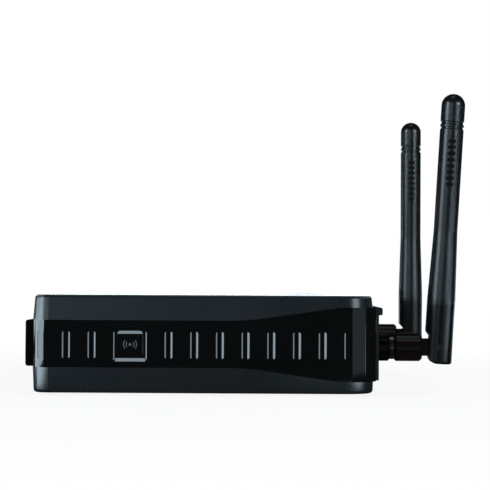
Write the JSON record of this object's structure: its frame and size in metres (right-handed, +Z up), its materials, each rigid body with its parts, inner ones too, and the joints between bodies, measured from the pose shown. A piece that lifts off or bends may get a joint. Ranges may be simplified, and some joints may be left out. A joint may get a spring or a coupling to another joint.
{
  "type": "wireless receiver unit",
  "caption": "Flat desktop wireless unit with a flared gloss trim band, a side push button, rear sockets and two swivelling, tilting screw-on whip antennas.",
  "frame": {"origin": "on the surface that the feet stand on, under the middle of the case and midway between the wall hooks", "axes": "+X across the case towards the side with the push button, +Y from the front lens to the rear sockets, +Z up"},
  "size_m": [0.16, 0.1544, 0.1069],
  "materials": {
    "shell_plastic": "semi-gloss black, the top and bottom shells",
    "trim_plastic": "high-gloss piano black",
    "lens_plastic": "smoked gloss black",
    "panel_plastic": "satin black",
    "button_plastic": "gloss black",
    "foot_rubber": "matt black rubber",
    "screw_steel": "zinc plated",
    "label_film": "blank silver film",
    "board_laminate": "green solder mask",
    "chip_epoxy": "matt black moulding",
    "tinned_sheet": "tinned",
    "sink_aluminium": "natural",
    "can_aluminium": "bright can",
    "socket_plastic": "satin black",
    "lan_plastic": "satin amber",
    "gold_contact": "gold flashed",
    "jack_metal": "gold flashed",
    "nut_metal": "black nickel plated",
    "plug_metal": "bright nickel plated",
    "elbow_plastic": "gloss brown-black",
    "whip_plastic": "soft satin black",
    "pin_steel": "dark steel",
    "radiator_metal": "plain",
    "light_acrylic": "clear acrylic",
    "lamp_resin": "clear resin",
    "lead_jacket": "thin black coaxial jacket"
  },
  "bodies": {
    "case": {"top_shell": "shell_plastic", "bottom_shell": "shell_plastic", "right_trim": "trim_plastic", "left_trim": "trim_plastic", "front_lens": "lens_plastic", "light_guide": "light_acrylic", "rear_panel": "panel_plastic", "rubber_feet": "foot_rubber", "case_screws": "screw_steel", "rating_label": "label_film", "circuit_board": "board_laminate", "board_screws": "screw_steel", "indicator_lamps": "lamp_resin", "radio_shield": "tinned_sheet", "processor": "chip_epoxy", "heat_sink": "sink_aluminium", "memory_chips": "chip_epoxy", "network_transformers": "chip_epoxy", "capacitors": "can_aluminium", "choke": "chip_epoxy", "crystal": "tinned_sheet", "lead_sockets": "gold_contact", "right_antenna_lead": "lead_jacket", "left_antenna_lead": "lead_jacket", "wan_socket": "socket_plastic", "wan_socket_shield": "tinned_sheet", "lan_sockets": "lan_plastic", "lan_socket_shield": "tinned_sheet", "socket_contacts": "gold_contact", "power_inlet": "socket_plastic", "power_inlet_pin": "gold_contact", "pairing_switch": "socket_plastic", "power_switch": "socket_plastic", "reset_switch": "socket_plastic", "jack_nuts": "plug_metal", "jack_washers": "plug_metal", "right_antenna_jack": "jack_metal", "left_antenna_jack": "jack_metal"},
    "pairing_button": {"pairing_button": "button_plastic", "pairing_plunger": "socket_plastic"},
    "power_button": {"power_button": "button_plastic"},
    "reset_button": {"reset_button": "socket_plastic"},
    "right_plug": {"right_plug_body": "plug_metal"},
    "right_nut": {"right_coupling_nut": "nut_metal"},
    "right_elbow": {"right_elbow": "elbow_plastic", "right_hinge_pin": "pin_steel"},
    "right_mast": {"right_antenna_base": "whip_plastic", "right_antenna_mast": "whip_plastic", "right_antenna_cap": "whip_plastic", "right_radiator": "radiator_metal"},
    "left_plug": {"left_plug_body": "plug_metal"},
    "left_nut": {"left_coupling_nut": "nut_metal"},
    "left_elbow": {"left_elbow": "elbow_plastic", "left_hinge_pin": "pin_steel"},
    "left_mast": {"left_antenna_base": "whip_plastic", "left_antenna_mast": "whip_plastic", "left_antenna_cap": "whip_plastic", "left_radiator": "radiator_metal"}
  },
  "joints": [
    {"name": "right_plug_travel", "type": "slide", "parent": "case", "child": "right_plug", "axis": [0, 1, 0], "range_m": [0, 0.00459]},
    {"name": "right_nut_turn", "type": "hinge", "parent": "right_plug", "child": "right_nut", "pos_m": [0.06, 0.0622, 0.0167], "axis": [0, 1, 0], "range_deg": [0, 2340]},
    {"name": "right_swivel", "type": "hinge", "parent": "right_plug", "child": "right_elbow", "pos_m": [0.06, 0.072, 0.0167], "axis": [0, 1, 0], "continuous": true},
    {"name": "right_tilt", "type": "hinge", "parent": "right_elbow", "child": "right_mast", "pos_m": [0.06, 0.0829, 0.0167], "axis": [-1, 0, 0], "range_deg": [-3.4, 86.6]},
    {"name": "left_plug_travel", "type": "slide", "parent": "case", "child": "left_plug", "axis": [0, 1, 0], "range_m": [0, 0.00459]},
    {"name": "left_nut_turn", "type": "hinge", "parent": "left_plug", "child": "left_nut", "pos_m": [-0.06, 0.0622, 0.0167], "axis": [0, 1, 0], "range_deg": [0, 2340]},
    {"name": "left_swivel", "type": "hinge", "parent": "left_plug", "child": "left_elbow", "pos_m": [-0.06, 0.072, 0.0167], "axis": [0, 1, 0], "continuous": true},
    {"name": "left_tilt", "type": "hinge", "parent": "left_elbow", "child": "left_mast", "pos_m": [-0.06, 0.0829, 0.0167], "axis": [-1, 0, 0], "range_deg": [0, 90]},
    {"name": "pairing_push", "type": "slide", "parent": "case", "child": "pairing_button", "axis": [-1, 0, 0], "range_m": [0, 0.0005], "stiffness_N_per_m": 1500, "springref_m": -0.0004},
    {"name": "power_push", "type": "slide", "parent": "case", "child": "power_button", "axis": [0, -1, 0], "range_m": [0, 0.002], "stiffness_N_per_m": 600, "springref_m": -0.001},
    {"name": "reset_push", "type": "slide", "parent": "case", "child": "reset_button", "axis": [0, -1, 0], "range_m": [0, 0.0004], "stiffness_N_per_m": 2000, "springref_m": -0.0003}
  ],
  "couplings": [
    {"joint": "right_nut_turn", "follows": "right_plug_travel", "rad_per_m": 8905.3},
    {"joint": "left_nut_turn", "follows": "left_plug_travel", "rad_per_m": 8905.3}
  ]
}
